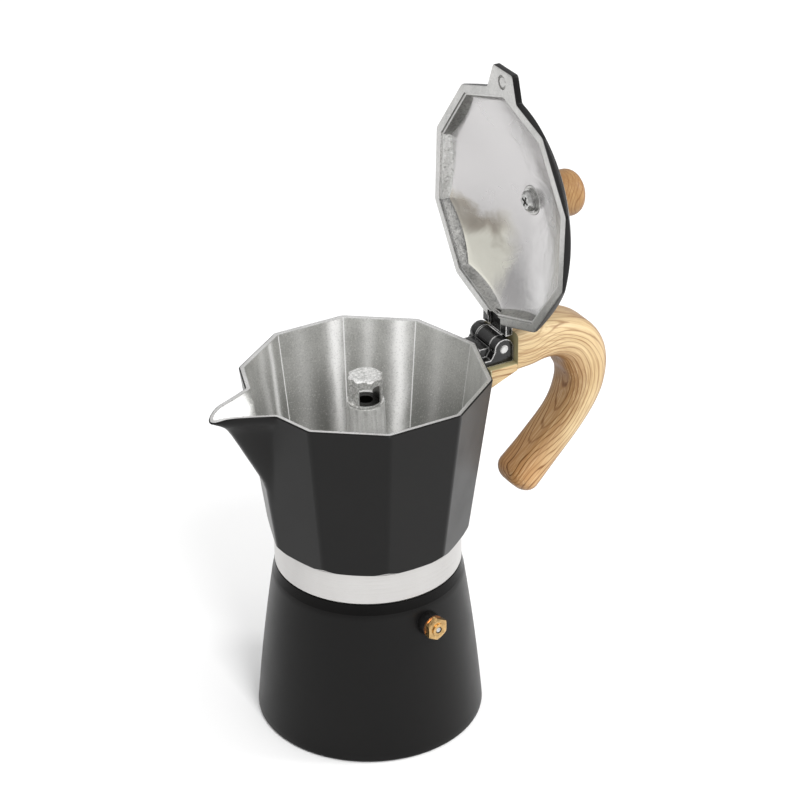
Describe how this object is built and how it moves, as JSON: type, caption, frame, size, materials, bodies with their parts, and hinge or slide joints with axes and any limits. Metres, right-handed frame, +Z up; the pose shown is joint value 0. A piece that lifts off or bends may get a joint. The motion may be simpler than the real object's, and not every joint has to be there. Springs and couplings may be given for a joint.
{
  "type": "stovetop moka pot",
  "caption": "Stovetop espresso moka pot with a screw-on ten-sided upper chamber, pouring spout, hinged lid standing open, wood-look knob and handle, and a brass safety valve.",
  "frame": {"origin": "centre of the boiler's underside, on the surface the pot stands on", "axes": "+Z up the pot's axis, +X towards the lid's hinge and the handle, the spout towards -X, +Y along the hinge pin"},
  "size_m": [0.1899, 0.1038, 0.2887],
  "materials": {
    "black_coating": "satin black coating on cast aluminium, left bare inside, on the rim and on the turned ring",
    "bare_aluminium": "satin",
    "cast_aluminium": "as cast, lightly polished",
    "brass": "turned",
    "copper": "satin",
    "steel": "satin",
    "silicone": "matte",
    "wood_look": "smooth satin with a printed wood grain"
  },
  "bodies": {
    "boiler": {"boiler": "black_coating", "valve_body": "brass", "valve_seat": "brass", "valve_washer": "copper", "valve_spring": "steel"},
    "plunger": {"valve_plunger": "steel"},
    "funnel": {"funnel_basket": "bare_aluminium", "funnel_tube": "bare_aluminium", "funnel_plate": "bare_aluminium"},
    "gasket": {"gasket": "silicone"},
    "filter": {"filter_plate": "bare_aluminium"},
    "chamber": {"upper_chamber": "black_coating", "column_cap": "cast_aluminium", "hinge_pin": "steel", "handle": "wood_look", "handle_screw": "steel", "handle_washer": "steel"},
    "lid": {"lid": "black_coating", "lid_knob": "wood_look", "knob_spacer": "bare_aluminium", "knob_insert": "brass", "knob_screw": "steel", "knob_washer": "steel"}
  },
  "joints": [
    {"name": "valve_lift", "type": "slide", "parent": "boiler", "child": "plunger", "axis": [0.1305, -0.9914, 0], "range_m": [0, 0.0015], "stiffness_N_per_m": 2000, "springref_m": -0.002, "deforming": ["valve_spring"]},
    {"name": "lift_off", "type": "slide", "parent": "boiler", "child": "gasket", "axis": [0, 0, 1], "range_m": [0, 0.15]},
    {"name": "funnel_lift", "type": "slide", "parent": "boiler", "child": "funnel", "axis": [0, 0, 1], "range_m": [0, 0.075]},
    {"name": "thread_rise", "type": "slide", "parent": "gasket", "child": "filter", "axis": [0, 0, 1], "range_m": [0, 0.0046]},
    {"name": "chamber_turn", "type": "hinge", "parent": "filter", "child": "chamber", "pos_m": [0, 0, 0.0795], "axis": [0, 0, 1], "range_deg": [0, 540]},
    {"name": "lid_hinge", "type": "hinge", "parent": "chamber", "child": "lid", "pos_m": [0.0618, 0, 0.165], "axis": [0, 1, 0], "range_deg": [-91.5, 0]}
  ],
  "couplings": [
    {"joint": "thread_rise", "follows": "chamber_turn", "m_per_rad": 0.00047746},
    {"joint": "funnel_lift", "follows": "lift_off", "ratio": 0.5}
  ]
}
